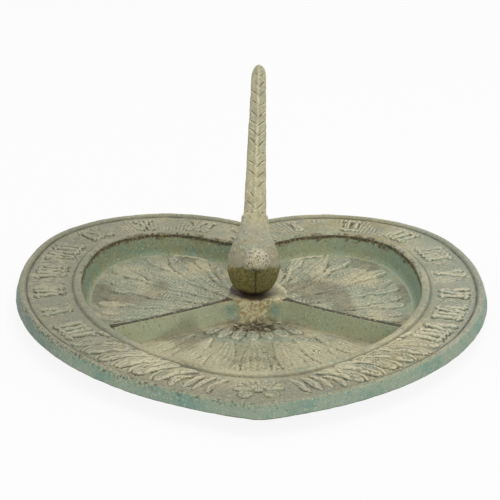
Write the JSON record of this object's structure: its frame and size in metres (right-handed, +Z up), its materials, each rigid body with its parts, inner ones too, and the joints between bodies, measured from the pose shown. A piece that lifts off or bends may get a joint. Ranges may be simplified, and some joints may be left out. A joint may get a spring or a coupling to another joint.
{
  "type": "garden sundial",
  "caption": "Heart-shaped cast sundial dish with three compartments, Roman hour numerals and a bird whose raised tail is the style.",
  "frame": {"origin": "middle of the dish's box, on the flat underside that it rests on", "axes": "+Z up, +Y towards the noon numeral and the cleft of the heart, the heart's tip at -Y, +X towards the afternoon hours"},
  "size_m": [0.291, 0.309, 0.1347],
  "materials": {
    "dish_iron": "verdigris paint, dry-brushed, dark in the hollows",
    "bird_iron": "verdigris paint, dry-brushed, dark below",
    "zinc_steel": "zinc plated"
  },
  "bodies": {
    "root": {"heart_dish": "dish_iron", "bird_gnomon": "bird_iron", "fixing_screw": "zinc_steel", "washer": "zinc_steel"}
  },
  "joints": []
}
